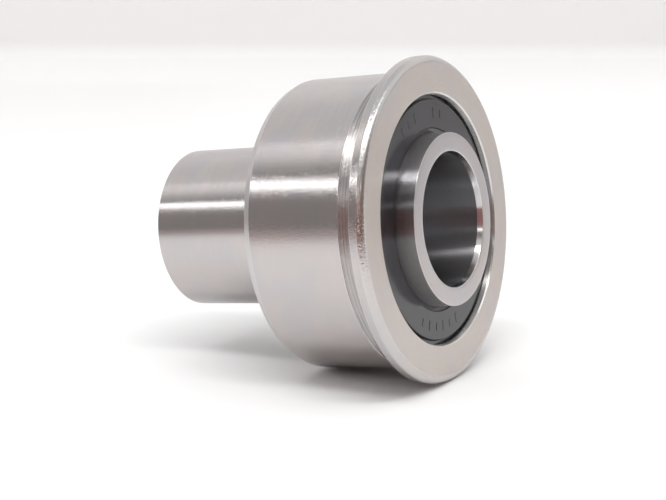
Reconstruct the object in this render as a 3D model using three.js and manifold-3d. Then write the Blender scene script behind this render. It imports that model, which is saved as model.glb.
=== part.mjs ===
// A flanged cam follower: a sealed, flanged roller that turns on two rows of balls round a long sleeve.
// Millimetres. Every piece is round about the Y axis. The flange and the nose face -Y, the hub points
// to +Y, and the origin is on the axis, halfway along the roller.

import * as THREE from "three";
import { mergeVertices } from "three/addons/utils/BufferGeometryUtils.js";
import Module from "manifold-3d";

// Roller (outer ring)
const ROLLER_LENGTH = 21;
const TREAD_RADIUS = 22.5;
const FLANGE_RADIUS = 24.65;
const FLANGE_THICKNESS = 2.08;
const FLANGE_CHAMFER_LENGTH = 0.8;
const FLANGE_CHAMFER_DEPTH = 0.48;
const RELIEF_DEPTH = 0.9; // the relief deepens from the tread down to the flange's back
const RELIEF_START = 2.9; // from the flange face to the bottom of the relief's taper
const RELIEF_END = 5.03; // from the flange face to where the tread starts
const RELIEF_STEP_LENGTH = 0.1;
const RELIEF_STEP_DEPTH = 0.12;
const TREAD_CHAMFER_LENGTH = 1.12;
const TREAD_CHAMFER_DEPTH = 0.5;

// Sleeve (inner ring, nose and hub in one)
const BORE_RADIUS = 10;
const BORE_LEAD_LENGTH = 0.9;
const BORE_LEAD_DEPTH = 0.24;
const NOSE_RADIUS = 13;
const NOSE_REACH = 2.1; // beyond the flange face
const HUB_RADIUS = 12.6;
const HUB_REACH = 22.7; // beyond the roller's rear face
const NOSE_EDGE_BREAK = 0.1;
const HUB_EDGE_BREAK = 0.2;
const HUB_STEP = 0.2; // along the axis, where the sleeve narrows to the hub

// Two rows of balls, and the raceways that hold them
const BALLS_PER_ROW = 9;
const BALL_RADIUS = 6.747 / 2;
const PITCH_RADIUS = 15.9;
const ROW_OFFSET = 3.75; // from the middle of the roller to each row
const RACE_GAP = 0.12; // between a ball and the bottom of its raceway
const RACE_RADIUS = 1.04 * BALL_RADIUS;
const INNER_LAND_RADIUS = 13.75;
const OUTER_LAND_RADIUS = 18;

// Crown cages
const CAGE_INNER_RADIUS = 14.6;
const CAGE_OUTER_RADIUS = 17.2;
const CAGE_PRONG_REACH = 1.6; // past the ball centres, towards the middle of the roller
const CAGE_BACK = 7.8; // from the middle of the roller to the back of a cage
const POCKET_RADIUS = BALL_RADIUS + 0.2;

// Seals and their seats: distances along the axis are from the middle of the roller
const SEAT_CHAMFER_RADIUS = 19.14;
const SEAT_WALL_RADII = [18.95, 18.78]; // at the chamfer and at the groove
const SEAT_WALL = [10.3, 9.55];
const SEAT_GROOVE_RADIUS = 19.15;
const SEAT_GROOVE = [9.3, 8.45];
const SEAT_FLOOR_RADIUS = 18.65;
const SEAT_FLOOR = 8.1;
const SEAL_FACE = 9.7;
const SEAL_BACK = 8.7;
const SEAL_FACE_RADII = [13.88, 18.1];
const SEAL_STEP_RADIUS = 13.75;
const SEAL_STEP = 9.5;
const BEAD_RADIUS = 18.9;
const BEAD_TOP = 9.1;
const BEAD_SLOPE = 0.2;
const LIP_GAP = 0.12; // between the seal's lip and the sleeve
const LIP_SPAN = [9.3, 9.05];
const LIP_SLOPE = 0.5;
const INSERT_RADII = [14.3, 18.3];
const INSERT_SPAN = [8.25, 8.55];

// How finely round shapes are divided
const AROUND = 48;
const ARC_STEPS = 3;
const BALL_DETAIL = 2;
const POCKET_DETAIL = 2;

const half = ROLLER_LENGTH / 2;
const rows = [-ROW_OFFSET, ROW_OFFSET];

const groundSteel = { color: 0xb9b6b2, roughness: 0.3, metalness: 1 };
const sleeveSteel = { color: 0xc4c0bb, roughness: 0.2, metalness: 1 };
const ballSteel = { color: 0xd2d2d0, roughness: 0.08, metalness: 1 };
const insertSteel = { color: 0x9c9a96, roughness: 0.45, metalness: 1 };
const sealRubber = { color: 0x37373a, roughness: 0.55, metalness: 0 };
const cagePolyamide = { color: 0xd8cfae, roughness: 0.6, metalness: 0 };

const part = new THREE.Group();

function addPiece(name, geometry, finish, turned = false) {
  const mesh = new THREE.Mesh(geometry, new THREE.MeshStandardMaterial(finish));
  mesh.name = name;
  if (turned) mesh.rotation.z = Math.PI;
  part.add(mesh);
  return mesh;
}

// An outline is drawn as radius across and distance along the axis upwards, anticlockwise.
function turn(outline) {
  outline.closePath();
  return new THREE.LatheGeometry(outline.getPoints(ARC_STEPS), AROUND);
}

function drawLines(outline, points) {
  for (const [radius, along] of points) outline.lineTo(radius, along);
}

// One raceway groove: an arc about a centre near the ball centres, cut into a land of the given radius.
function drawRaceway(outline, row, landRadius, outer) {
  const bottom = outer ? PITCH_RADIUS + BALL_RADIUS + RACE_GAP : PITCH_RADIUS - BALL_RADIUS - RACE_GAP;
  const centre = outer ? bottom - RACE_RADIUS : bottom + RACE_RADIUS;
  const reach = Math.acos(Math.abs(landRadius - centre) / RACE_RADIUS);
  const middle = outer ? 0 : Math.PI;
  outline.absarc(centre, row, RACE_RADIUS, middle + reach, middle - reach, true);
}

function sleeveGeometry() {
  const nose = -half - NOSE_REACH;
  const hub = half + HUB_REACH;
  const mouth = BORE_RADIUS + BORE_LEAD_DEPTH;
  const shoulder = CAGE_BACK;
  const rise = INNER_LAND_RADIUS - NOSE_RADIUS;
  const outline = new THREE.Path();
  outline.moveTo(mouth, nose);
  drawLines(outline, [
    [NOSE_RADIUS - NOSE_EDGE_BREAK, nose],
    [NOSE_RADIUS, nose + NOSE_EDGE_BREAK],
    [NOSE_RADIUS, -shoulder - rise / 2],
    [INNER_LAND_RADIUS, -shoulder + rise / 2],
  ]);
  for (const row of rows) drawRaceway(outline, row, INNER_LAND_RADIUS, false);
  drawLines(outline, [
    [INNER_LAND_RADIUS, shoulder - rise / 2],
    [NOSE_RADIUS, shoulder + rise / 2],
    [NOSE_RADIUS, half],
    [HUB_RADIUS, half + HUB_STEP],
    [HUB_RADIUS, hub - HUB_EDGE_BREAK],
    [HUB_RADIUS - HUB_EDGE_BREAK, hub],
    [mouth, hub],
    [BORE_RADIUS, hub - BORE_LEAD_LENGTH],
    [BORE_RADIUS, nose + BORE_LEAD_LENGTH],
  ]);
  return turn(outline);
}

// The stepped seat that holds a seal, from the end face inwards, on the side given by the sign.
function sealSeat(side) {
  const points = [
    [SEAT_CHAMFER_RADIUS, half],
    [SEAT_WALL_RADII[0], SEAT_WALL[0]],
    [SEAT_WALL_RADII[1], SEAT_WALL[1]],
    [SEAT_GROOVE_RADIUS, SEAT_GROOVE[0]],
    [SEAT_GROOVE_RADIUS, SEAT_GROOVE[1]],
    [SEAT_FLOOR_RADIUS, SEAT_FLOOR],
    [OUTER_LAND_RADIUS, SEAT_FLOOR],
  ];
  return points.map(([radius, along]) => [radius, side * along]);
}

function rollerGeometry() {
  const face = -half;
  const reliefFloor = TREAD_RADIUS - RELIEF_DEPTH;
  const outline = new THREE.Path();
  outline.moveTo(SEAT_CHAMFER_RADIUS, face);
  drawLines(outline, [
    [FLANGE_RADIUS - FLANGE_CHAMFER_DEPTH, face],
    [FLANGE_RADIUS, face + FLANGE_CHAMFER_LENGTH],
    [FLANGE_RADIUS, face + FLANGE_THICKNESS],
    [reliefFloor, face + FLANGE_THICKNESS],
    [reliefFloor, face + RELIEF_START],
    [TREAD_RADIUS - RELIEF_STEP_DEPTH, face + RELIEF_END - RELIEF_STEP_LENGTH],
    [TREAD_RADIUS, face + RELIEF_END],
    [TREAD_RADIUS, half - TREAD_CHAMFER_LENGTH],
    [TREAD_RADIUS - TREAD_CHAMFER_DEPTH, half],
  ]);
  drawLines(outline, sealSeat(1));
  for (const row of rows.toReversed()) drawRaceway(outline, row, OUTER_LAND_RADIUS, true);
  drawLines(outline, sealSeat(-1).reverse());
  return turn(outline);
}

// The rear seal: a flat face, a stepped-down lip that runs on the sleeve, and a bead round the outside.
function sealGeometry() {
  const [innerRadius, outerRadius] = SEAL_FACE_RADII;
  const [lipFront, lipBack] = LIP_SPAN;
  const lip = NOSE_RADIUS + LIP_GAP;
  const outline = new THREE.Path();
  outline.moveTo(outerRadius, SEAL_FACE);
  drawLines(outline, [
    [innerRadius, SEAL_FACE],
    [SEAL_STEP_RADIUS, SEAL_STEP],
    [lip, lipFront],
    [lip, lipBack],
    [lip + LIP_SLOPE, SEAL_BACK],
    [BEAD_RADIUS, SEAL_BACK],
    [BEAD_RADIUS, BEAD_TOP],
    [outerRadius + BEAD_SLOPE, BEAD_TOP],
  ]);
  return turn(outline);
}

// The sheet-steel washer behind the rear seal's rubber.
function insertGeometry() {
  const [innerRadius, outerRadius] = INSERT_RADII;
  const [front, back] = INSERT_SPAN;
  const outline = new THREE.Path();
  outline.moveTo(innerRadius, front);
  drawLines(outline, [[outerRadius, front], [outerRadius, back], [innerRadius, back]]);
  return turn(outline);
}

function ballPlace(index) {
  const angle = (2 * Math.PI * index) / BALLS_PER_ROW;
  return new THREE.Vector3(PITCH_RADIUS * Math.sin(angle), ROW_OFFSET, PITCH_RADIUS * Math.cos(angle));
}

const wasm = await Module();
wasm.setup();

function toSolid(geometry) {
  const bare = geometry.clone();
  bare.deleteAttribute("normal");
  bare.deleteAttribute("uv");
  const merged = mergeVertices(bare);
  const mesh = new wasm.Mesh({
    numProp: 3,
    vertProperties: new Float32Array(merged.attributes.position.array),
    triVerts: new Uint32Array(merged.index.array),
  });
  return new wasm.Manifold(mesh);
}

function toGeometry(solid) {
  const mesh = solid.getMesh();
  const geometry = new THREE.BufferGeometry();
  geometry.setAttribute("position", new THREE.BufferAttribute(mesh.vertProperties, 3));
  geometry.setIndex(new THREE.BufferAttribute(mesh.triVerts, 1));
  geometry.computeVertexNormals();
  return geometry;
}

// The rear crown cage: a ring with round pockets that are open towards the middle of the roller.
function cageGeometry() {
  const outline = new THREE.Path();
  const open = ROW_OFFSET - CAGE_PRONG_REACH;
  outline.moveTo(CAGE_INNER_RADIUS, open);
  drawLines(outline, [
    [CAGE_OUTER_RADIUS, open],
    [CAGE_OUTER_RADIUS, CAGE_BACK],
    [CAGE_INNER_RADIUS, CAGE_BACK],
  ]);
  let cage = toSolid(turn(outline));
  for (let index = 0; index < BALLS_PER_ROW; index += 1) {
    const pocket = new THREE.IcosahedronGeometry(POCKET_RADIUS, POCKET_DETAIL);
    pocket.translate(...ballPlace(index));
    cage = cage.subtract(toSolid(pocket));
  }
  return toGeometry(cage);
}

function addBall(name, place, front) {
  const ball = addPiece(name, new THREE.IcosahedronGeometry(BALL_RADIUS, BALL_DETAIL), ballSteel);
  ball.position.copy(place);
  if (front) ball.position.y = -place.y;
}

addPiece("sleeve", sleeveGeometry(), sleeveSteel);
addPiece("flanged_roller", rollerGeometry(), groundSteel);
for (const [end, front] of [["front", true], ["rear", false]]) {
  addPiece(`${end}_seal`, sealGeometry(), sealRubber, front);
  addPiece(`${end}_seal_insert`, insertGeometry(), insertSteel, front);
  addPiece(`${end}_cage`, cageGeometry(), cagePolyamide, front);
  for (let index = 0; index < BALLS_PER_ROW; index += 1) {
    addBall(`${end}_ball_${index + 1}`, ballPlace(index), front);
  }
}

export default part;
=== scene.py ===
import math

import bmesh
import bpy
from mathutils import Matrix, Vector


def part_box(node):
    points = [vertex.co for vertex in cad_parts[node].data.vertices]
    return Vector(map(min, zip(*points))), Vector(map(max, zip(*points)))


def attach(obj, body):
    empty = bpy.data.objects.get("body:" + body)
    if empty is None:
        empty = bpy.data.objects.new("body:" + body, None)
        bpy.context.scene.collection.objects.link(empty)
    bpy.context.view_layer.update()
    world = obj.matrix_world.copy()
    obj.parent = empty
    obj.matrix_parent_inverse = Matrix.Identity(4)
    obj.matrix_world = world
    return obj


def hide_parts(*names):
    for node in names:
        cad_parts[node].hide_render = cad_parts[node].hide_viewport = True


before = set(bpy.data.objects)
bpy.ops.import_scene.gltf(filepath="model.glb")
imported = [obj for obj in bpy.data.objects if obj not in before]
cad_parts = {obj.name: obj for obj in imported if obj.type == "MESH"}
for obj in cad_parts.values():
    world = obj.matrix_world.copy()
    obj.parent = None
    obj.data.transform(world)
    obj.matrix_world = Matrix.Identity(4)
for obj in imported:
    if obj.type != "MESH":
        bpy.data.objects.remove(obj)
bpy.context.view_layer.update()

MM = 0.001

# ---------------------------------------------------------------- sizes, in millimetres
roller_low, roller_high = (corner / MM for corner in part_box("flanged_roller"))
sleeve_low, sleeve_high = (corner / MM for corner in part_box("sleeve"))

FACE = roller_low.y  # the flange's flat face
BACK = roller_high.y  # the roller's rear face
NOSE = sleeve_low.y
HUB = sleeve_high.y
FLANGE_RADIUS = roller_high.z
FLANGE_THICKNESS = 2.08
FLANGE_CHAMFER_LENGTH = 0.8
FLANGE_CHAMFER_DEPTH = 0.48
FLANGE_EDGE_FILLET = 1.15
TREAD_RADIUS = 22.5
TREAD_START = FACE + 5.03
RELIEF_START = FACE + 2.9
RELIEF_DEPTH = 0.9
RELIEF_FILLETS = (0.3, 0.6)  # at the flange and at the tread
RELIEF_STEP_LENGTH = 0.1
RELIEF_STEP_DEPTH = 0.12
TREAD_CHAMFER_LENGTH = 1.12
TREAD_CHAMFER_DEPTH = 0.5
BORE_RADIUS = 10.0
BORE_MOUTH_RADIUS = 10.24
BORE_LEAD_LENGTH = 0.9
NOSE_BEVELS = (10.7, 12.35)  # the nose face falls away slightly inside and outside these radii
NOSE_BEVEL_DROP = 0.06
NOSE_RADIUS = 13.0
HUB_RADIUS = 12.6
HUB_STEP = 0.2
SHOULDER = 7.8
INNER_LAND_RADIUS = 13.75
OUTER_LAND_RADIUS = 18.0
PITCH_RADIUS = 15.9
ROW_OFFSET = 3.75
BALL_RADIUS = 6.747 / 2
RACE_GAP = 0.12
RACE_RADIUS = 1.04 * BALL_RADIUS
SEAT_CHAMFER_RADIUS = 19.14
SEAT_WALL_RADII = (18.95, 18.78)  # at the chamfer and at the groove
SEAT_WALL = (10.3, 9.55)
SEAT_GROOVE_RADIUS = 19.15
SEAT_GROOVE = (9.3, 8.45)
SEAT_FLOOR_RADIUS = 18.65
SEAT_FLOOR = 8.1
INSERT_INNER_RADIUS = 14.3
SEAL_FACE = 9.7
SEAL_BACK = 8.7
SEAL_FACE_RADII = (13.88, 18.1)
SEAL_STEP_RADIUS = 13.75
SEAL_STEP = 9.5
BEAD_RADIUS = 18.9
BEAD_TOP = 9.1
BEAD_SLOPE = 0.1
LIP_GAP = 0.02
LIP_SPAN = (9.3, 9.05)
LIP_SLOPE = 0.5
MARK_ROWS = ((-22, 3), (12, 2), (188, 6))  # the middle of each row in degrees round the axis, and its bars
MARK_PITCH = 8
MARK_RADIUS = 16.1
MARK_LENGTHS = (1.5, 1.2)
MARK_WIDTH = 0.6
MARK_HEIGHT = 0.06
INSERT_FILLET = 0.06
WORN_LINE = FACE + 0.55  # the worn line round the flange's edge
WORN_LINE_REACH = (0.08, 0.16)  # from the line to where it starts to fade, and to where it ends
WORN_MIDDLE_HEIGHT = 3.0
WORN_STRETCH_REACH = (5.0, 7.5)  # the same along the line, from the middle of its worn stretch
AROUND = 240  # how many steps a turned piece has round its axis
FILLET_STEPS = 6
SOFT_FILLET = 0.25  # a fillet larger than this takes the finish of the stretch after it
RACE_STEPS = 16
BALL_SUBDIVISIONS = 4


# ---------------------------------------------------------------- node helpers
class Nodes:
    """Short names for building one material's node tree."""

    def __init__(self, tree):
        self.tree = tree

    def add(self, kind, **settings):
        node = self.tree.nodes.new(kind)
        for key, value in settings.items():
            setattr(node, key, value)
        return node

    def wire(self, value, socket):
        if isinstance(value, bpy.types.NodeSocket):
            self.tree.links.new(value, socket)
        else:
            socket.default_value = value

    def math(self, operation, *values):
        node = self.add("ShaderNodeMath", operation=operation)
        for value, socket in zip(values, node.inputs):
            self.wire(value, socket)
        return node.outputs[0]

    def vector(self, operation, *values):
        node = self.add("ShaderNodeVectorMath", operation=operation)
        for value, socket in zip(values, node.inputs):
            self.wire(value, socket)
        return node.outputs["Value" if operation in ("DOT_PRODUCT", "LENGTH", "DISTANCE") else "Vector"]

    def noise(self, vector, scale=1.0, detail=3.0, roughness=0.55):
        node = self.add("ShaderNodeTexNoise")
        self.wire(vector, node.inputs["Vector"])
        node.inputs["Scale"].default_value = scale
        node.inputs["Detail"].default_value = detail
        node.inputs["Roughness"].default_value = roughness
        return node.outputs["Fac"]

    def span(self, value, low, high, to_low=0.0, to_high=1.0, smooth=False):
        node = self.add("ShaderNodeMapRange", interpolation_type="SMOOTHSTEP" if smooth else "LINEAR")
        for given, name in zip((value, low, high, to_low, to_high),
                               ("Value", "From Min", "From Max", "To Min", "To Max")):
            self.wire(given, node.inputs[name])
        return node.outputs["Result"]

    def mix(self, factor, first, second):
        node = self.add("ShaderNodeMix", data_type="RGBA")
        self.wire(factor, node.inputs["Factor"])
        self.wire(first, node.inputs["A"])
        self.wire(second, node.inputs["B"])
        return node.outputs["Result"]

    def bump(self, height, strength, distance, normal=None):
        node = self.add("ShaderNodeBump")
        node.inputs["Strength"].default_value = strength
        node.inputs["Distance"].default_value = distance
        self.wire(height, node.inputs["Height"])
        if normal is not None:
            self.wire(normal, node.inputs["Normal"])
        return node.outputs["Normal"]


def new_material(name):
    material = bpy.data.materials.new(name)
    material.use_nodes = True
    material.node_tree.nodes.clear()
    nodes = Nodes(material.node_tree)
    shader = nodes.add("ShaderNodeBsdfPrincipled")
    output = nodes.add("ShaderNodeOutputMaterial")
    nodes.wire(shader.outputs[0], output.inputs["Surface"])
    return material, nodes, shader


def rgb(red, green, blue):
    return (red, green, blue, 1.0)


def shade(colour, factor):
    return tuple(channel * factor for channel in colour[:3]) + (1.0,)


def turning_coordinates(nodes, across, around):
    """Object coordinates stretched round the axis: fine across the tool marks, coarse along them."""
    place = nodes.add("ShaderNodeTexCoord").outputs["Object"]
    split = nodes.add("ShaderNodeSeparateXYZ")
    nodes.wire(place, split.inputs[0])
    radius = nodes.vector("LENGTH", nodes.vector("MULTIPLY", place, (1.0, 0.0, 1.0)))
    over = nodes.math("ADD", split.outputs["Y"], radius)
    joined = nodes.add("ShaderNodeCombineXYZ")
    nodes.wire(nodes.math("MULTIPLY", split.outputs["X"], around), joined.inputs[0])
    nodes.wire(nodes.math("MULTIPLY", over, across), joined.inputs[1])
    nodes.wire(nodes.math("MULTIPLY", split.outputs["Z"], around), joined.inputs[2])
    return joined.outputs[0], over, place


# How high the finest marks and the specks stand, in metres.
GRAIN_HEIGHT = 0.00002
SPECK_HEIGHT = 0.00005

# How fine each pattern is: the scale of its noise, which grows as its features get smaller.
MARKS_AROUND = 700.0
SCRATCHES_ACROSS = 1500.0
SCRATCHES_AROUND = 90.0
CLOUD_SCALE = 140.0
HAZE_SCALE = 130.0
PIT_SCALE = 2600.0
SPECK_SCALE = 2800.0
BRUISE_SCALE = 1500.0

# What is left of the steel's colour in haze, in a pit and in a turned groove; the groove's darkening is
# painted shade.
HAZE_TINT = (0.90, 0.93, 0.97)
PIT_SHADE = 0.6
PAINTED_GROOVE_SHADE = 0.65

ACROSS_THE_MARKS = 0.25  # a quarter turn of the anisotropy, so reflections spread along the axis


def worn_stretch(nodes, place, normal):
    """A bruised, dotted line round the flange's edge, on the stretch of it that has met something hard."""
    line = WORN_LINE * MM
    line_inner, line_outer = (reach * MM for reach in WORN_LINE_REACH)
    inner, outer = (reach * MM for reach in WORN_STRETCH_REACH)
    split = nodes.add("ShaderNodeSeparateXYZ")
    nodes.wire(place, split.inputs[0])
    away = nodes.math("ABSOLUTE", nodes.math("SUBTRACT", split.outputs["Y"], line))
    band = nodes.span(away, line_inner, line_outer, 1.0, 0.0, smooth=True)
    bruises = nodes.span(nodes.noise(place, scale=BRUISE_SCALE, detail=2.0), 0.45, 0.6)
    middle = (-FLANGE_RADIUS * MM, line, WORN_MIDDLE_HEIGHT * MM)
    stretch = nodes.span(nodes.vector("DISTANCE", place, middle), inner, outer, 1.0, 0.0, smooth=True)
    dots = nodes.math("MULTIPLY", band, nodes.math("MULTIPLY", bruises, stretch))
    return nodes.bump(dots, 0.8, SPECK_HEIGHT, normal)


def steel(name, colour, roughness, anisotropy, marks=0.2, marks_across=14000.0, turned_pitch=0.0,
          turned_depth=0.0, mottle=0.07, uneven=0.2, scratches=0.0, dents=0.0, worn=False):
    """Bearing steel worked round the axis: fine streaks, faint mottling and haze, scratches and pits."""
    material, nodes, shader = new_material(name)
    fine, over, place = turning_coordinates(nodes, marks_across, MARKS_AROUND)
    coarse, _, _ = turning_coordinates(nodes, marks_across / 6, MARKS_AROUND / 4)
    streaks = nodes.noise(fine, detail=4.0, roughness=0.6)
    bands = nodes.noise(coarse, detail=2.0)
    clouds = nodes.noise(place, scale=CLOUD_SCALE, detail=3.0)
    patches = nodes.math("MULTIPLY", nodes.span(bands, 0.3, 0.7), nodes.span(clouds, 0.3, 0.7))
    shader.inputs["Metallic"].default_value = 1.0
    shader.inputs["Anisotropic"].default_value = anisotropy
    shader.inputs["Anisotropic Rotation"].default_value = ACROSS_THE_MARKS
    tangent = nodes.add("ShaderNodeTangent", direction_type="RADIAL", axis="Y")
    nodes.wire(tangent.outputs[0], shader.inputs["Tangent"])

    tone = nodes.mix(patches, shade(colour, 1 - mottle), shade(colour, 1 + mottle / 3))
    haze = nodes.span(nodes.noise(place, scale=HAZE_SCALE, detail=4.0), 0.45, 0.6, 0.0, 0.7)
    hazed = rgb(*(channel * tint for channel, tint in zip(colour, HAZE_TINT)))
    tone = nodes.mix(haze, tone, hazed)
    pits = nodes.span(nodes.noise(place, scale=PIT_SCALE, detail=1.0), 0.76, 0.82)
    tone = nodes.mix(pits, tone, shade(colour, PIT_SHADE))
    normal = nodes.bump(streaks, marks, GRAIN_HEIGHT)
    if turned_depth:
        wave = nodes.math("SINE", nodes.math("MULTIPLY", over, 2 * math.pi / (turned_pitch * MM)))
        groove = nodes.math("MULTIPLY", wave, nodes.span(bands, 0.2, 0.8))
        normal = nodes.bump(groove, 1.0, turned_depth * MM, normal)
        # The turned grooves are darkened in colour: painted shade in the grooves.
        tone = nodes.mix(nodes.span(groove, 0.1, 0.6), tone, shade(colour, PAINTED_GROOVE_SHADE))
    nodes.wire(tone, shader.inputs["Base Color"])
    rough = nodes.span(streaks, 0.25, 0.75, roughness * (1 - uneven), roughness * (1 + uneven))
    nodes.wire(nodes.math("ADD", rough, nodes.math("MULTIPLY", patches, roughness * uneven)),
               shader.inputs["Roughness"])

    if worn:
        normal = worn_stretch(nodes, place, normal)
    if dents:
        specks = nodes.span(nodes.noise(place, scale=SPECK_SCALE, detail=3.0, roughness=0.6), 0.5, 0.72)
        normal = nodes.bump(specks, dents, SPECK_HEIGHT, normal)
    if scratches:
        lines, _, _ = turning_coordinates(nodes, SCRATCHES_ACROSS, SCRATCHES_AROUND)
        deep = nodes.span(nodes.noise(lines, detail=5.0, roughness=0.7), 0.66, 0.7)
        normal = nodes.bump(deep, scratches, GRAIN_HEIGHT, normal)
    nodes.wire(normal, shader.inputs["Normal"])
    return material


WARM_STEEL = rgb(0.57, 0.53, 0.52)
CHAMFER_STEEL = rgb(0.60, 0.57, 0.555)
BRIGHT_STEEL = rgb(0.70, 0.68, 0.66)

finishes = {
    "tread": steel("ground_tread", WARM_STEEL, 0.17, 0.95, marks=0.04, mottle=0.05, uneven=0.15,
                   scratches=0.35, dents=0.1),
    # The relief's steel is darker than the tread's: painted shade in the groove.
    "relief": steel("turned_relief_painted_shade", rgb(0.50, 0.47, 0.46), 0.3, 0.85, marks=0.15, turned_pitch=0.55,
                    turned_depth=0.014, dents=0.3),
    "rim": steel("ground_rim", WARM_STEEL, 0.19, 0.9, marks=0.08, dents=0.2),
    "chamfer": steel("turned_chamfer", CHAMFER_STEEL, 0.2, 0.6, marks=0.1, dents=0.2),
    "flange_chamfer": steel("worn_flange_chamfer", CHAMFER_STEEL, 0.2, 0.6, marks=0.1, dents=0.3, worn=True),
    "face": steel("lapped_flange_face", rgb(0.62, 0.565, 0.53), 0.42, 0.4, marks=0.2,
                  marks_across=5000.0),
    # The nose's steel is darker than the hub's: painted shade.
    "nose": steel("ground_nose_painted_shade", rgb(0.46, 0.44, 0.44), 0.25, 1.0, marks=0.01, uneven=0.06),
    "nose_face": steel("faced_nose_end", rgb(0.52, 0.485, 0.48), 0.32, 0.4, marks=0.2),
    "hub": steel("ground_hub", WARM_STEEL, 0.18, 0.95, marks=0.04, dents=0.07),
    "lead_in": steel("turned_lead_in", rgb(0.62, 0.60, 0.59), 0.16, 0.5, marks=0.1),
    # The bore's steel is darker than the rest of the sleeve: painted shade inside the bore.
    "bore": steel("honed_bore_painted_shade", rgb(0.36, 0.35, 0.36), 0.29, 1.0, marks=0.01, uneven=0.06),
    "edge": steel("bright_edge", BRIGHT_STEEL, 0.2, 0.3, marks=0.15),
    "seat": steel("seal_seat", BRIGHT_STEEL, 0.26, 0.98, marks=0.005, mottle=0.02, uneven=0.03),
    "race": steel("polished_raceway", rgb(0.62, 0.61, 0.60), 0.12, 0.5, marks=0.1),
    "ball": steel("polished_ball", rgb(0.72, 0.72, 0.72), 0.06, 0.0, marks=0.05, mottle=0.04),
    "insert": steel("pressed_sheet_steel", rgb(0.48, 0.47, 0.46), 0.38, 0.0, marks=0.3),
}


def rubber():
    """Moulded nitrile rubber: dark grey, finely grained, with a faint dusty bloom."""
    material, nodes, shader = new_material("moulded_seal_rubber")
    place = nodes.add("ShaderNodeTexCoord").outputs["Object"]
    grain = nodes.noise(place, scale=5200.0, detail=3.0)
    bloom = nodes.noise(place, scale=260.0, detail=4.0)
    dark, dusty = rgb(0.013, 0.0125, 0.016), rgb(0.023, 0.022, 0.028)
    nodes.wire(nodes.mix(nodes.span(bloom, 0.3, 0.7), dark, dusty), shader.inputs["Base Color"])
    nodes.wire(nodes.span(bloom, 0.3, 0.7, 0.12, 0.2), shader.inputs["Roughness"])
    nodes.wire(nodes.bump(grain, 0.15, GRAIN_HEIGHT), shader.inputs["Normal"])
    shader.inputs["IOR"].default_value = 1.6
    return material


def polyamide():
    """Moulded cage plastic: warm natural colour with a slight flow pattern."""
    material, nodes, shader = new_material("moulded_cage_polyamide")
    place = nodes.add("ShaderNodeTexCoord").outputs["Object"]
    flow = nodes.noise(place, scale=180.0, detail=3.0)
    deep, pale = rgb(0.66, 0.60, 0.44), rgb(0.75, 0.69, 0.53)
    nodes.wire(nodes.mix(nodes.span(flow, 0.3, 0.7), deep, pale), shader.inputs["Base Color"])
    nodes.wire(nodes.span(flow, 0.3, 0.7, 0.42, 0.55), shader.inputs["Roughness"])
    nodes.wire(nodes.bump(nodes.noise(place, scale=3000.0), 0.2, GRAIN_HEIGHT), shader.inputs["Normal"])
    shader.inputs["Subsurface Weight"].default_value = 0.1
    shader.inputs["Subsurface Radius"].default_value = (0.001, 0.0008, 0.0005)
    return material


finishes["rubber"] = rubber()
finishes["polyamide"] = polyamide()


# ---------------------------------------------------------------- turned forms
# An outline is a closed list of corners, anticlockwise with the radius across and the axis upwards:
# (radius, along, fillet radius, finish of the stretch that follows). A fillet of 0 is one smooth point.
def outline_points(corners):
    """(radius, along, normal's radial part, normal's axial part, finish) round the whole outline."""
    points = []
    for index, (radius, along, fillet, finish) in enumerate(corners):
        corner_finish = finish if fillet > SOFT_FILLET else "edge"
        here = Vector((radius, along))
        before = Vector(corners[index - 1][:2])
        after = Vector(corners[(index + 1) % len(corners)][:2])
        way_in = (here - before).normalized()
        way_out = (after - here).normalized()
        normal_in = Vector((way_in.y, -way_in.x))
        normal_out = Vector((way_out.y, -way_out.x))
        if not fillet:
            normal = (normal_in + normal_out).normalized()
            points.append((radius, along, normal.x, normal.y, finish))
            continue
        bend = math.atan2(way_in.cross(way_out), way_in.dot(way_out))
        reach = fillet * math.tan(abs(bend) / 2)
        side = 1 if bend > 0 else -1
        centre = here - way_in * reach - normal_in * (side * fillet)
        for step in range(FILLET_STEPS + 1):
            turn = bend * step / FILLET_STEPS
            normal = Matrix.Rotation(turn, 2) @ normal_in
            place = centre + normal * (side * fillet)
            kept = finish if step == FILLET_STEPS else corner_finish
            points.append((place.x, place.y, normal.x, normal.y, kept))
    return points


def turned_piece(name, corners, edge=None):
    """A mesh turned round the Y axis from an outline, with exact normals and one finish per stretch."""
    points = outline_points(corners)
    stretches = [edge if edge and point[4] == "edge" else point[4] for point in points]
    names = sorted(set(stretches))
    vertices, normals, faces, slots = [], [], [], []
    for around in range(AROUND):
        angle = 2 * math.pi * around / AROUND
        out = Vector((math.sin(angle), 0, math.cos(angle)))
        for radius, along, radial, axial, _ in points:
            vertices.append(out * (radius * MM) + Vector((0, along * MM, 0)))
            normals.append(out * radial + Vector((0, axial, 0)))
    count = len(points)
    for around in range(AROUND):
        this, following = around * count, (around + 1) % AROUND * count
        for index in range(count):
            ahead = (index + 1) % count
            faces.append((this + index, following + index, following + ahead, this + ahead))
            slots.append(names.index(stretches[index]))
    mesh = bpy.data.meshes.new(name)
    mesh.from_pydata(vertices, [], faces)
    for finish in names:
        mesh.materials.append(finishes[finish])
    mesh.polygons.foreach_set("material_index", slots)
    mesh.polygons.foreach_set("use_smooth", [True] * len(faces))
    mesh.update()
    mesh.normals_split_custom_set_from_vertices([tuple(n) for n in normals])
    piece = bpy.data.objects.new(name, mesh)
    bpy.context.scene.collection.objects.link(piece)
    return piece


def place_piece(piece, body, node):
    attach(piece, body)
    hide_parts(node)
    return piece


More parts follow.
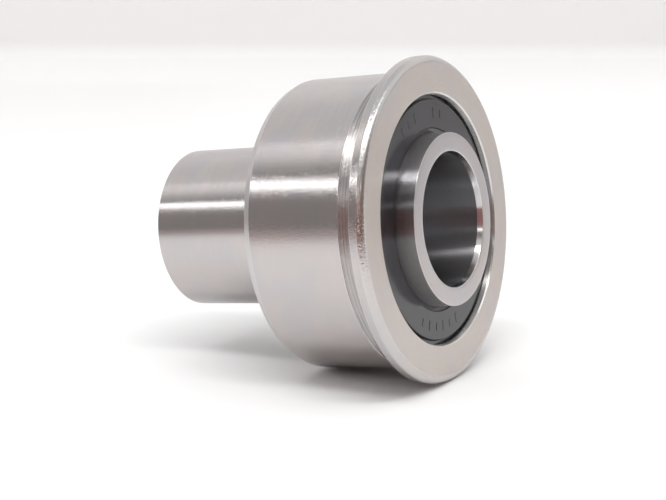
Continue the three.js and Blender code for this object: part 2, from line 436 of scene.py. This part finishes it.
def raceway(row, land, outer):
    """The groove that a row of balls runs in, drawn in the outline's own direction."""
    bottom = PITCH_RADIUS + (BALL_RADIUS + RACE_GAP) * (1 if outer else -1)
    centre = bottom - RACE_RADIUS if outer else bottom + RACE_RADIUS
    reach = math.acos(abs(land - centre) / RACE_RADIUS)
    middle = 0 if outer else math.pi
    corners = []
    for step in range(RACE_STEPS + 1):
        angle = middle + reach - 2 * reach * step / RACE_STEPS
        radius, along = centre + RACE_RADIUS * math.cos(angle), row + RACE_RADIUS * math.sin(angle)
        corners.append((radius, along, 0, "race"))
    return corners


def sleeve():
    rise = INNER_LAND_RADIUS - NOSE_RADIUS
    inner_bevel, outer_bevel = NOSE_BEVELS
    dropped = NOSE + NOSE_BEVEL_DROP
    corners = [
        (BORE_MOUTH_RADIUS, dropped, 0.1, "nose_face"),
        (inner_bevel, NOSE, 0.3, "nose_face"),
        (outer_bevel, NOSE, 0.3, "nose_face"),
        (NOSE_RADIUS, dropped, 0.05, "nose"),
        (NOSE_RADIUS, -SHOULDER - rise / 2, 0.1, "nose"),
        (INNER_LAND_RADIUS, -SHOULDER + rise / 2, 0.1, "nose"),
        *raceway(-ROW_OFFSET, INNER_LAND_RADIUS, False),
        *raceway(ROW_OFFSET, INNER_LAND_RADIUS, False),
        (INNER_LAND_RADIUS, SHOULDER - rise / 2, 0.1, "nose"),
        (NOSE_RADIUS, SHOULDER + rise / 2, 0.1, "nose"),
        (NOSE_RADIUS, BACK, 0.08, "nose"),
        (HUB_RADIUS, BACK + HUB_STEP, 0.1, "hub"),
        (HUB_RADIUS, HUB, 0.1, "nose_face"),
        (BORE_MOUTH_RADIUS, HUB, 0.06, "lead_in"),
        (BORE_RADIUS, HUB - BORE_LEAD_LENGTH, 0.3, "bore"),
        (BORE_RADIUS, NOSE + BORE_LEAD_LENGTH, 0.08, "lead_in"),
    ]
    return place_piece(turned_piece("sleeve_body", corners), "sleeve", "sleeve")


def seal_seat(side):
    corners = [
        (SEAT_CHAMFER_RADIUS, BACK, 0.08, "seat"),
        (SEAT_WALL_RADII[0], SEAT_WALL[0], 0.06, "seat"),
        (SEAT_WALL_RADII[1], SEAT_WALL[1], 0.1, "seat"),
        (SEAT_GROOVE_RADIUS, SEAT_GROOVE[0], 0.1, "seat"),
        (SEAT_GROOVE_RADIUS, SEAT_GROOVE[1], 0.1, "seat"),
        (SEAT_FLOOR_RADIUS, SEAT_FLOOR, 0.1, "seat"),
        (OUTER_LAND_RADIUS, SEAT_FLOOR, 0.1, "seat"),
    ]
    return [(radius, side * along, fillet, finish) for radius, along, fillet, finish in corners]


def roller():
    back_of_flange = FACE + FLANGE_THICKNESS
    relief = TREAD_RADIUS - RELIEF_DEPTH
    relief_edge = TREAD_START - RELIEF_STEP_LENGTH
    flange_fillet, tread_fillet = RELIEF_FILLETS
    front_seat = seal_seat(-1)[::-1]
    corners = [
        (SEAT_CHAMFER_RADIUS, FACE, 0.08, "face"),
        (FLANGE_RADIUS - FLANGE_CHAMFER_DEPTH, FACE, FLANGE_EDGE_FILLET, "flange_chamfer"),
        (FLANGE_RADIUS, FACE + FLANGE_CHAMFER_LENGTH, 0.08, "rim"),
        (FLANGE_RADIUS, back_of_flange, 0.12, "relief"),
        (relief, back_of_flange, flange_fillet, "relief"),
        (relief, RELIEF_START, tread_fillet, "relief"),
        (TREAD_RADIUS - RELIEF_STEP_DEPTH, relief_edge, 0.04, "chamfer"),
        (TREAD_RADIUS, TREAD_START, 0.08, "tread"),
        (TREAD_RADIUS, BACK - TREAD_CHAMFER_LENGTH, 0.1, "chamfer"),
        (TREAD_RADIUS - TREAD_CHAMFER_DEPTH, BACK, 0.12, "face"),
        *seal_seat(1),
        *raceway(ROW_OFFSET, OUTER_LAND_RADIUS, True),
        *raceway(-ROW_OFFSET, OUTER_LAND_RADIUS, True),
        *front_seat[:-1],
    ]
    return place_piece(turned_piece("roller_body", corners), "roller", "flanged_roller")


def seal(end, side):
    inner_radius, outer_radius = SEAL_FACE_RADII
    lip_front, lip_back = LIP_SPAN
    lip = NOSE_RADIUS + LIP_GAP
    corners = [
        (outer_radius, SEAL_FACE, 0.2, "rubber"),
        (inner_radius, SEAL_FACE, 0.05, "rubber"),
        (SEAL_STEP_RADIUS, SEAL_STEP, 0.1, "rubber"),
        (lip, lip_front, 0.04, "rubber"),
        (lip, lip_back, 0.08, "rubber"),
        (lip + LIP_SLOPE, SEAL_BACK, 0.15, "rubber"),
        (BEAD_RADIUS, SEAL_BACK, 0.12, "rubber"),
        (BEAD_RADIUS, BEAD_TOP, 0.12, "rubber"),
        (outer_radius + BEAD_SLOPE, BEAD_TOP, 0.1, "rubber"),
    ]
    if side < 0:
        corners = [(radius, -along, fillet, finish) for radius, along, fillet, finish in corners[::-1]]
    piece = turned_piece(f"{end}_seal_rubber", corners, edge="rubber")
    return place_piece(piece, "roller", f"{end}_seal")


def seal_marks(end, side):
    """Rows of plain raised bars moulded on a seal's face, where such seals carry their markings."""
    form = bmesh.new()
    for middle, count in MARK_ROWS:
        for index in range(count):
            angle = math.radians(middle + (index - (count - 1) / 2) * MARK_PITCH)
            size = Matrix.Diagonal((MARK_WIDTH * MM, 2 * MARK_HEIGHT * MM, MARK_LENGTHS[index % 2] * MM, 1))
            spot = Matrix.Translation((0, side * SEAL_FACE * MM, MARK_RADIUS * MM))
            bmesh.ops.create_cube(form, size=1.0, matrix=Matrix.Rotation(angle, 4, "Y") @ spot @ size)
    mesh = bpy.data.meshes.new(f"{end}_seal_marks")
    form.to_mesh(mesh)
    form.free()
    mesh.materials.append(finishes["rubber"])
    piece = bpy.data.objects.new(f"{end}_seal_marks", mesh)
    bpy.context.scene.collection.objects.link(piece)
    rounding = piece.modifiers.new("rounding", "BEVEL")
    rounding.width = MARK_HEIGHT * MM
    rounding.segments = 2
    return place_piece(piece, "roller", f"{end}_seal")


def insert(end):
    low, high = (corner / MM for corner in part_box(f"{end}_seal_insert"))
    places = [(INSERT_INNER_RADIUS, low.y), (high.z, low.y), (high.z, high.y), (INSERT_INNER_RADIUS, high.y)]
    corners = [(radius, along, INSERT_FILLET, "insert") for radius, along in places]
    piece = turned_piece(f"{end}_insert_ring", corners, edge="insert")
    return place_piece(piece, "roller", f"{end}_seal_insert")


def ball(node):
    low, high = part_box(node)
    centre = (low + high) / 2
    mesh = bpy.data.meshes.new(f"{node}_sphere")
    form = bmesh.new()
    bmesh.ops.create_icosphere(form, subdivisions=BALL_SUBDIVISIONS, radius=BALL_RADIUS * MM,
                               matrix=Matrix.Translation(centre))
    for face in form.faces:
        face.smooth = True
    form.to_mesh(mesh)
    form.free()
    mesh.materials.append(finishes["ball"])
    piece = bpy.data.objects.new(f"{node}_sphere", mesh)
    bpy.context.scene.collection.objects.link(piece)
    return place_piece(piece, node, node)


sleeve()
roller()
for end, side in (("front", -1), ("rear", 1)):
    seal(end, side)
    seal_marks(end, side)
    insert(end)
    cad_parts[f"{end}_cage"].data.materials.clear()
    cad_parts[f"{end}_cage"].data.materials.append(finishes["polyamide"])
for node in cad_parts:
    if "_ball_" in node:
        ball(node)


# ---------------------------------------------------------------- camera
# The follower lies on its flange and the far end of its tread, so the table is tilted to the axis.
tread_end = BACK - TREAD_CHAMFER_LENGTH
lean = math.atan2(FLANGE_RADIUS - TREAD_RADIUS, tread_end - FACE - FLANGE_THICKNESS)
up = Vector((0, -math.sin(lean), math.cos(lean)))

CAMERA_PLACE = Vector((-0.20046, -0.11114, 0.02877))
CAMERA_WAY = Vector((0.84925, 0.50906, -0.14009))
LENS = 81.09
SENSOR_WIDTH = 36

camera = bpy.data.cameras.new("camera")
camera.lens = LENS
camera.sensor_width = SENSOR_WIDTH
camera_object = bpy.data.objects.new("camera", camera)
bpy.context.scene.collection.objects.link(camera_object)
bpy.context.scene.camera = camera_object
camera_right = CAMERA_WAY.cross(up).normalized()
camera_up = camera_right.cross(CAMERA_WAY).normalized()
pose = Matrix((camera_right, camera_up, -CAMERA_WAY.normalized())).transposed().to_4x4()
pose.translation = CAMERA_PLACE
camera_object.matrix_world = pose
ahead = (CAMERA_WAY - up * CAMERA_WAY.dot(up)).normalized()


# ---------------------------------------------------------------- table and wall
BOARD_COLOURS = (rgb(0.90, 0.90, 0.90), rgb(0.92, 0.92, 0.92))
WALL_COLOURS = (rgb(0.86, 0.85, 0.855), rgb(0.88, 0.87, 0.875))
# Painted shade for the table's part towards the camera's side.
PAINTED_FRONT_SHADE_COLOUR = rgb(0.72, 0.71, 0.70)
BOARD_GRAIN = 30.0
BOARD_ROUGHNESS = 0.7
CONTACT_GAP = 0.00003  # between the table and the flange, in metres
contact = Vector((0, (FACE + FLANGE_THICKNESS) * MM, -FLANGE_RADIUS * MM)) - up * CONTACT_GAP


def table_finish():
    """Pale board: a slightly greyer wall, and a surface that darkens gently towards the camera's side as
    painted shade.
    """
    material, nodes, shader = new_material("pale_table")
    place = nodes.add("ShaderNodeTexCoord").outputs["Object"]
    grain = nodes.noise(place, scale=BOARD_GRAIN)
    board = nodes.mix(grain, *BOARD_COLOURS)
    wall = nodes.mix(grain, *WALL_COLOURS)
    above = nodes.math("SUBTRACT", nodes.vector("DOT_PRODUCT", place, tuple(up)), up.dot(contact))
    nearer = nodes.vector("DOT_PRODUCT", place, tuple(-ahead))
    # The part towards the camera's side is darkened: painted shade.
    front = nodes.mix(nodes.span(nearer, 0.12, 0.5, smooth=True), board, PAINTED_FRONT_SHADE_COLOUR)
    on_wall = nodes.span(above, 0.0, 0.008, smooth=True)
    nodes.wire(nodes.mix(on_wall, front, wall), shader.inputs["Base Color"])
    shader.inputs["Roughness"].default_value = BOARD_ROUGHNESS
    return material


def table():
    """A flat pale table that curves up into a low wall well behind the follower."""
    wall_distance, bend, wall_height, width, front = 0.66, 0.01, 0.4, 3.0, 2.5
    bend_steps = 12
    line = [(-front, 0.0), (wall_distance - bend, 0.0)]
    for step in range(1, bend_steps + 1):
        angle = math.pi / 2 * step / bend_steps
        line.append((wall_distance - bend + bend * math.sin(angle), bend - bend * math.cos(angle)))
    line.append((wall_distance, wall_height))
    vertices = []
    for side in (-width, width):
        for away, height in line:
            vertices.append(contact + ahead * away + up * height + camera_right * side)
    count = len(line)
    faces = [(index, count + index, count + index + 1, index + 1) for index in range(count - 1)]
    mesh = bpy.data.meshes.new("table")
    mesh.from_pydata(vertices, [], faces)
    mesh.materials.append(table_finish())
    mesh.polygons.foreach_set("use_smooth", [True] * len(faces))
    piece = bpy.data.objects.new("table", mesh)
    bpy.context.scene.collection.objects.link(piece)


table()


# ---------------------------------------------------------------- things that only reflections show
# Colour of a painted reflection: a dark red card that only reflections show.
PAINTED_REFLECTION_COLOUR = rgb(0.40, 0.17, 0.16)
# Painted shade for the table's outer parts, seen only in reflections.
OUTER_FLOOR_PAINTED_SHADE = rgb(0.40, 0.345, 0.335)


def flag(name, corners, material):
    """A flat card that only reflections show: the camera doesn't see it and it casts no shadow."""
    mesh = bpy.data.meshes.new(name)
    mesh.from_pydata(corners, [], [(0, 1, 2, 3)])
    mesh.materials.append(material)
    card = bpy.data.objects.new(name, mesh)
    bpy.context.scene.collection.objects.link(card)
    card.visible_camera = card.visible_diffuse = card.visible_shadow = False


def painted_reflection_card():
    """A dark red card standing low in front of the follower, seen only in reflections: a painted reflection.
    """
    material, nodes, shader = new_material("painted_reflection_card")
    place = nodes.add("ShaderNodeTexCoord").outputs["Object"]
    shader.inputs["Roughness"].default_value = 1.0
    nodes.wire(nodes.mix(nodes.noise(place, scale=20.0), PAINTED_REFLECTION_COLOUR, shade(PAINTED_REFLECTION_COLOUR, 0.85)),
               shader.inputs["Base Color"])
    distance, left, right, low, high = 0.15, -0.064, 0.014, -0.0245, 0.064
    sides = [(left, low), (right, low), (right, high), (left, high)]
    corners = [camera_right * across + up * height - ahead * distance for across, height in sides]
    flag("painted_reflection_card", corners, material)


def painted_floor_shade():
    """The table's outer parts to the left and in front, as reflections show them: painted shade, dimmer with
    distance.
    """
    material, nodes, shader = new_material("painted_floor_shade")
    place = nodes.add("ShaderNodeTexCoord").outputs["Object"]
    shader.inputs["Roughness"].default_value = BOARD_ROUGHNESS
    distance = nodes.vector("DISTANCE", place, tuple(contact))
    leftwards = nodes.vector("DOT_PRODUCT", place, tuple(-camera_right))
    nearer = nodes.vector("DOT_PRODUCT", place, tuple(-ahead))
    far = nodes.span(distance, 0.08, 0.34, smooth=True)
    left = nodes.span(leftwards, -0.02, 0.1, smooth=True)
    front = nodes.span(nearer, 0.1, 0.3, smooth=True)
    # The outer parts darken with distance: painted shade, seen only in reflections.
    outer = nodes.math("MULTIPLY", far, nodes.math("MAXIMUM", left, front))
    board = nodes.mix(nodes.noise(place, scale=BOARD_GRAIN), *BOARD_COLOURS)
    nodes.wire(nodes.mix(outer, board, OUTER_FLOOR_PAINTED_SHADE), shader.inputs["Base Color"])
    reach, behind, lift = 1.5, 0.5, 0.0005
    sides = [(-reach, -reach), (reach, -reach), (reach, behind), (-reach, behind)]
    corners = [contact + camera_right * across + ahead * away + up * lift for across, away in sides]
    flag("painted_floor_shade", corners, material)


painted_reflection_card()
painted_floor_shade()


# ---------------------------------------------------------------- light
def direction(azimuth, elevation):
    """A direction from the follower: azimuth 0 is back towards the camera, and positive is to the right."""
    turn, rise = math.radians(azimuth), math.radians(elevation)
    level = camera_right * math.sin(turn) - ahead * math.cos(turn)
    return level * math.cos(rise) + up * math.sin(rise)


LAMP_DISTANCE = 1.6


def panel(name, azimuth, elevation, wide, high, radiance):
    """A rectangular light panel, wide and high in degrees, that faces the follower and is evenly bright."""
    size = [2 * LAMP_DISTANCE * math.tan(math.radians(angle) / 2) for angle in (wide, high)]
    lamp = bpy.data.lights.new(name, "AREA")
    lamp.shape = "RECTANGLE"
    lamp.size, lamp.size_y = size
    lamp.energy = radiance * math.pi * size[0] * size[1]
    way = direction(azimuth, elevation)
    lamp_object = bpy.data.objects.new(name, lamp)
    bpy.context.scene.collection.objects.link(lamp_object)
    across = up.cross(way).normalized()
    turn = Matrix((across, way.cross(across).normalized(), way)).transposed().to_4x4()
    turn.translation = way * LAMP_DISTANCE
    lamp_object.matrix_world = turn
    lamp_object.visible_camera = False
    return lamp_object


# Azimuth, elevation, width and height in degrees, then how bright the panel is.
panel("ceiling_lamp", 0, 64, 46, 5.5, 15.0)
panel("ceiling_lamp_left", -52, 60.5, 26, 4.0, 6.0)
panel("ceiling_lamp_far_left", -76, 55.5, 16, 4.0, 1.0)
panel("ceiling_lamp_right", 68, 50, 34, 7.0, 3.0)
panel("window_left", -73, 27.4, 21, 2.9, 6.2)
panel("window_middle", -38, 28, 41, 3.6, 2.8)
panel("window_right", 15, 28, 41, 2.1, 3.0)
panel("soft_fill", 0, 58, 56, 56, 0.33).visible_glossy = False
panel("back_fill", 180, 75, 40, 30, 0.3).visible_glossy = False


BACKDROP_COLOUR = rgb(0.84, 0.83, 0.83)
CEILING_COLOURS = (rgb(0.98, 0.98, 0.98), rgb(0.78, 0.78, 0.78))
GAP_COLOUR = rgb(0.30, 0.29, 0.28)
ROOM_COLOURS = (rgb(0.33, 0.31, 0.30), rgb(0.30, 0.20, 0.17))


def surroundings():
    """The room as a soft gradient: bright behind and above, darker low down on the camera's side.

    The camera itself sees an even, pale backdrop where the table and its wall end.
    """
    world = bpy.data.worlds.new("studio")
    bpy.context.scene.world = world
    world.use_nodes = True
    world.node_tree.nodes.clear()
    nodes = Nodes(world.node_tree)
    way = nodes.add("ShaderNodeTexCoord").outputs["Generated"]
    height = nodes.vector("DOT_PRODUCT", way, tuple(up))
    towards = nodes.vector("DOT_PRODUCT", way, tuple(-ahead))
    rightwards = nodes.vector("DOT_PRODUCT", way, tuple(camera_right))
    near = nodes.span(towards, -0.15, 0.25, smooth=True)
    low = nodes.span(height, 0.32, 0.42, 1.0, 0.0, smooth=True)
    below_ceiling = nodes.span(height, 0.62, 0.72, 1.0, 0.0, smooth=True)
    ceiling = nodes.mix(nodes.span(height, 0.6, 0.82), *CEILING_COLOURS)
    gap = nodes.mix(nodes.math("MULTIPLY", near, below_ceiling), ceiling, GAP_COLOUR)
    room = nodes.mix(nodes.span(rightwards, -0.2, 0.4), *ROOM_COLOURS)
    reflected = nodes.mix(nodes.math("MULTIPLY", near, low), gap, room)
    seen_directly = nodes.add("ShaderNodeLightPath").outputs["Is Camera Ray"]
    colour = nodes.mix(seen_directly, reflected, BACKDROP_COLOUR)
    background = nodes.add("ShaderNodeBackground")
    nodes.wire(colour, background.inputs["Color"])
    background.inputs["Strength"].default_value = 1.0
    nodes.wire(background.outputs[0], nodes.add("ShaderNodeOutputWorld").inputs["Surface"])


surroundings()
view = bpy.context.scene.view_settings
view.view_transform = "Standard"
view.look = "None"
